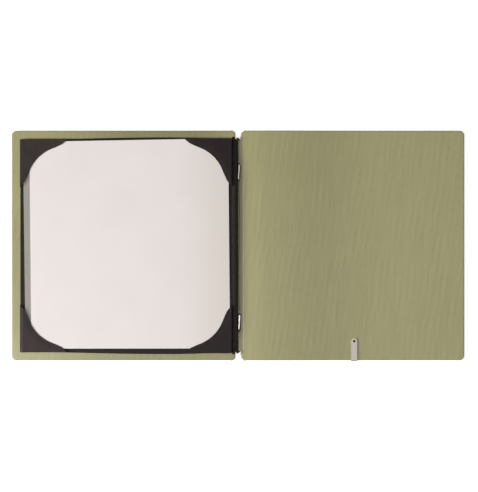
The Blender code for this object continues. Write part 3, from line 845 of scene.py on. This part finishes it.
def rounded_path(corners, steps=10):
    """A path whose middle corners (x, y, radius) are turned into arcs."""
    path = [np.array(corners[0][:2], float)]
    for before, (x, y, radius), after in zip(corners[:-2], corners[1:-1], corners[2:]):
        here = np.array((x, y), float)
        back = np.array(before[:2], float) - here
        onward = np.array(after[:2], float) - here
        back /= np.linalg.norm(back)
        onward /= np.linalg.norm(onward)
        half = math.acos(np.clip(back @ onward, -1, 1)) / 2
        start, stop = here + back * radius / math.tan(half), here + onward * radius / math.tan(half)
        centre = here + (back + onward) / np.linalg.norm(back + onward) * radius / math.sin(half)
        for share in np.linspace(0, 1, steps):
            spoke = (start - centre) * (1 - share) + (stop - centre) * share
            path.append(centre + spoke / np.linalg.norm(spoke) * radius)
    path.append(np.array(corners[-1][:2], float))
    return np.array(path) * MM


def evenly(path, shares):
    """Points along a path at those shares of its length."""
    lengths = np.concatenate([[0.0], np.cumsum(np.linalg.norm(np.diff(path, axis=0), axis=1))])
    return np.stack([np.interp(shares * lengths[-1], lengths, path[:, axis]) for axis in (0, 1)], axis=1)


def pocket_points(low, high, scored):
    """The upper face of a pocket with its corner at the origin, folded down at its two outer sides."""
    leg = POCKET_LEG / MM
    outer = rounded_path([(leg, 0, 0), (0, 0, POCKET_CORNER / MM), (0, leg, 0)], 8)
    far_flare = [(y, x, radius) for x, y, radius in reversed(FLARE)]
    inner = rounded_path([(leg, 0, 0)] + FLARE + [HOLLOW] + far_flare + [(0, leg, 0)])
    shares = np.unique(np.concatenate([np.linspace(0, 1, 73), np.linspace(0.485, 0.515, 9)]))
    outer, inner = evenly(outer, shares), evenly(inner, shares)
    near_side, near_hollow = np.geomspace(0.004, 0.5, 52), 1 - np.geomspace(0.48, 0.008, 16)
    across = np.concatenate([[0.0], near_side, near_hollow, [1.0]])
    flat = outer[:, None, :] * (1 - across[None, :, None]) + inner[:, None, :] * across[None, :, None]
    from_side = np.minimum(flat[..., 0], flat[..., 1])
    to_hollow = distance_to_path(flat.reshape(-1, 2), inner).reshape(from_side.shape)
    into = np.clip(POCKET_TURN - from_side, 0, POCKET_TURN)
    fall = POCKET_TURN - np.sqrt(np.maximum(POCKET_TURN**2 - into**2, 0.0))
    dip = 0.30 * MM * (1 - smooth(0.0, 6.0 * MM, to_hollow)) * smooth(0.0, 3.0 * MM, from_side)
    cut = 0.10 * MM * (1 - smooth(0.0, 0.14 * MM, to_hollow))
    z = high - fall - dip - cut
    if scored:
        z -= SCORE_DEPTH * (1 - smooth(*SCORE_EDGE, flat[..., 0]))
    top = np.concatenate([flat, z[..., None]], axis=-1)
    skirt = top[:, :1, :].copy()
    skirt[..., 2] = low
    return np.concatenate([skirt, top], axis=1)


def make_pockets():
    for vertical, sign_y, corner_y in (("top", -1, CARRIER_HIGH.y), ("bottom", 1, CARRIER_LOW.y)):
        for across, sign_x, corner_x in (("left", 1, CARRIER_LOW.x), ("right", -1, CARRIER_HIGH.x)):
            node = f"pocket_{vertical}_{across}"
            low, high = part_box(node)
            points = pocket_points(low.z, high.z, node == "pocket_bottom_left")
            points[..., 0] = corner_x + sign_x * points[..., 0]
            points[..., 1] = corner_y + sign_y * (points[..., 1] + POCKET_INSET[across])
            mesh = grid_mesh(f"{node}_folded", [points], sign_x * sign_y < 0)
            piece = add_piece(mesh.name, mesh, POCKET_BLACK_PAINTED_LIGHT_AND_SHADE[across], "page", node)
            thicken(piece, POCKET_STOCK)


make_pockets()


# Carrier, backing sheet, card and hinge sleeve.


def make_sheet(name, low, high, outline, material, body, node, soft):
    """A flat sheet between two levels. outline(x, y) moves the points of a rectangle of 2 by 2."""
    share = np.linspace(-1.0, 1.0, 61)
    x, y = np.meshgrid(share, share)
    x, y = outline(x, y)
    mesh = grid_mesh(name, [np.stack([x, y, np.full(x.shape, high)], axis=-1)])
    piece = add_piece(name, mesh, material, body, node)
    thicken(piece, high - low)
    mesh.shade_flat()
    soften(piece, soft)


def carrier_outline(x, y):
    """The carrier bows out at head and tail between its pockets, and is shorter at its outer side."""
    middle, half = (CARRIER_LOW + CARRIER_HIGH) / 2, (CARRIER_HIGH - CARRIER_LOW) / 2
    bow = 2.1 * MM * smooth(-1.0, 0.3, x) * (1 - 0.6 * smooth(0.45, 1.0, x)) - 0.95 * MM
    return middle.x + half.x * x, middle.y + (half.y + bow) * y


def backing_outline(x, y):
    middle, half = (BACKING_LOW + BACKING_HIGH) / 2, (BACKING_HIGH - BACKING_LOW) / 2
    left = 1.9 * MM * (1 - x) / 2
    lean = 1.3 * MM * y * (1 - x) / 2
    return middle.x + half.x * x + left - lean, middle.y + half.y * y


def card_outline(x, y):
    """The card lies a little askew, and its head slopes more than its tail."""
    middle, half = (CARD_LOW + CARD_HIGH) / 2, (CARD_HIGH - CARD_LOW) / 2
    lean = math.radians(0.55)
    width, height = half.x - half.y * math.sin(lean), half.y - half.x * math.sin(lean)
    slope = np.where(y > 0, math.radians(1.0), math.radians(0.05))
    return (
        middle.x + 0.35 * MM + width * x - height * y * math.sin(lean),
        middle.y + 0.25 * MM * (y < 0) + height * y + width * x * np.sin(slope * np.abs(y)),
    )


LOOP_RADIUS = 0.92 * MM


def make_sleeve():
    """The strap along the carrier's edge and the loop round the cord, as one folded sheet."""
    low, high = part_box("hinge_sleeve")
    strap_top = low.z + CARRIER_HIGH.z - CARRIER_LOW.z
    loop = arc((PAGE_HINGE.x, PAGE_HINGE.z), LOOP_RADIUS, -100, 112, 18)
    shoulder = [(-2.6 * MM, strap_top + 0.98 * MM), (-4.2 * MM, strap_top + 0.42 * MM)]
    shoulder += [(-5.2 * MM, strap_top + 0.10 * MM), (low.x + 0.1 * MM, strap_top)]
    foot = [(low.x, strap_top - 0.1 * MM), (low.x, low.z)]
    foot += [(-3.0 * MM, low.z), (-1.9 * MM, low.z + 0.05 * MM)]
    profile = np.concatenate([loop, shoulder, foot])
    end = high.y - 3.2 * MM * smooth(-3.8 * MM, -1.9 * MM, profile[:, 0])
    rows = clustered(-1.0, 1.0, 3.0 * MM / high.y, [offset / high.y for offset in FINE[:5]])
    x = np.repeat(profile[None, :, 0], len(rows), axis=0)
    z = np.repeat(profile[None, :, 1], len(rows), axis=0)
    mesh = tube_mesh("sleeve_sheet", np.stack([x, rows[:, None] * end[None, :], z], axis=-1))
    add_piece(mesh.name, mesh, SLEEVE_BLACK, "page", "hinge_sleeve")


make_sheet(
    "carrier_stock", CARRIER_LOW.z, CARRIER_HIGH.z, carrier_outline, CARRIER_BLACK,
    "page", "carrier_sheet", 0.12 * MM,
)
make_sheet(
    "backing_paper", BACKING_LOW.z, BACKING_HIGH.z, backing_outline, BACKING_GREY,
    "page", "backing_sheet", 0.05 * MM,
)
make_sheet(
    "card_stock", CARD_LOW.z, CARD_HIGH.z, card_outline, CARD_WHITE,
    "card", "menu_card", 0.08 * MM,
)
make_sleeve()


# CAD nodes that keep their own shape.


def dress(node, material, soft=None):
    piece = frame["nodes"][node]
    piece.data.materials.clear()
    piece.data.materials.append(material)
    if soft:
        soften(piece, soft)


dress("front_board", BOARD_GREY)
dress("back_board", BOARD_GREY)
dress("tag", TAG_STEEL, 0.12 * MM)
dress("tag_rivet", RIVET_STEEL)


# Floor, light and camera.


FLOOR_REACH = 9.0
FLOOR_DROP = 0.1 * MM
WARM_WHITE = (1.0, 0.985, 0.965)
WHITE = (1.0, 1.0, 1.0)
SKY_STRENGTH = 0.20
LIGHTS = [
    # name, place, target, size, power, colour
    ("key_softbox", (-0.62, -0.42, 1.24), (0.0, 0.0, 0.0), 0.45, 8.0, WARM_WHITE),
    ("raking_softbox", (-4.0, -0.6, 1.55), (0.0, 0.0, 0.0), 1.3, 225.0, WARM_WHITE),
    ("top_panel", (0.55, -0.1, 2.3), (0.2, 0.0, 0.0), 1.3, 5.5, WHITE),
]
FOCAL_LENGTH = 85.0
VIEW_HEIGHT = 492 * MM
EYE_X, EYE_Y = 1.1 * MM, -0.45 * MM


def make_floor():
    mesh = bpy.data.meshes.new("floor")
    corners = [(x * FLOOR_REACH, y * FLOOR_REACH, 0) for x, y in ((-1, -1), (1, -1), (1, 1), (-1, 1))]
    mesh.from_pydata(corners, [], [(0, 1, 2, 3)])
    floor = bpy.data.objects.new("floor", mesh)
    bpy.context.scene.collection.objects.link(floor)
    floor.location.z = -FLOOR_DROP
    material = bpy.data.materials.new("pale_floor")
    material.use_nodes = True
    shader = material.node_tree.nodes["Principled BSDF"]
    shader.inputs["Base Color"].default_value = (0.90, 0.90, 0.90, 1.0)
    shader.inputs["Roughness"].default_value = 0.9
    shader.inputs["Specular IOR Level"].default_value = 0.1
    shader.inputs["Emission Color"].default_value = (1.0, 1.0, 1.0, 1.0)
    shader.inputs["Emission Strength"].default_value = 0.55
    mesh.materials.append(material)


def add_area(name, place, target, size, power, colour):
    """A round soft light that points at its target."""
    light = bpy.data.lights.new(name, "AREA")
    light.shape = "DISK"
    light.size = size
    light.energy = power
    light.color = colour
    lamp = bpy.data.objects.new(name, light)
    bpy.context.scene.collection.objects.link(lamp)
    lamp.location = place
    lamp.rotation_euler = (Vector(target) - Vector(place)).to_track_quat("-Z", "Y").to_euler()


def make_lights():
    for light in LIGHTS:
        add_area(*light)
    world = bpy.data.worlds.new("studio")
    world.use_nodes = True
    background = world.node_tree.nodes["Background"]
    background.inputs["Color"].default_value = (1.0, 1.0, 1.0, 1.0)
    background.inputs["Strength"].default_value = SKY_STRENGTH
    bpy.context.scene.world = world


def make_camera():
    """A camera straight above the open holder, as high as it takes to see VIEW_HEIGHT of it."""
    camera = bpy.data.cameras.new("camera")
    camera.lens = FOCAL_LENGTH
    camera.clip_start = 0.01
    camera.clip_end = 20.0
    eye = bpy.data.objects.new("camera", camera)
    bpy.context.scene.collection.objects.link(eye)
    distance = VIEW_HEIGHT * camera.lens / camera.sensor_width
    eye.location = (EYE_X, EYE_Y, THICK + distance)
    bpy.context.scene.camera = eye


make_floor()
make_lights()
make_camera()
bpy.context.scene.view_settings.view_transform = "Standard"
